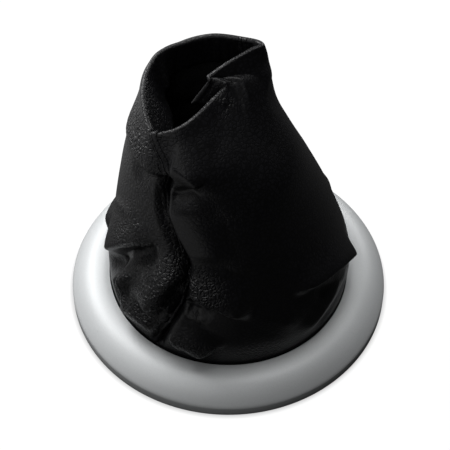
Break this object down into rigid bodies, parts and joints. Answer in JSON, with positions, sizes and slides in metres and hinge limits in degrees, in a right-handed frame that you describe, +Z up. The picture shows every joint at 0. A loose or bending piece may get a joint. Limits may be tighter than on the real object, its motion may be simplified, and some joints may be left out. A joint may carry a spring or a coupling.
{
  "type": "gear lever gaiter",
  "caption": "Slack leather boot sewn from two panels, clamped by its foot in a round painted bezel, with an open hemmed mouth at the top for a gear lever.",
  "frame": {"origin": "middle of the bezel's foot, on the console's surface", "axes": "+Z up along the lever, -Y to the front of the picture, +X to the right-hand side"},
  "size_m": [0.14, 0.14, 0.1304],
  "materials": {
    "leather": "black, pebble grain, satin",
    "silver_paint": "silver metallic paint on moulded plastic, satin",
    "black_plastic": "moulded, matte",
    "zinc_steel": "zinc plated"
  },
  "bodies": {
    "root": {"front_right_panel": "leather", "rear_left_panel": "leather", "trim_ring": "silver_paint", "carrier_frame": "black_plastic", "frame_screw_1": "zinc_steel", "frame_screw_2": "zinc_steel", "frame_screw_3": "zinc_steel", "frame_screw_4": "zinc_steel", "frame_screw_5": "zinc_steel", "frame_screw_6": "zinc_steel"}
  },
  "joints": []
}
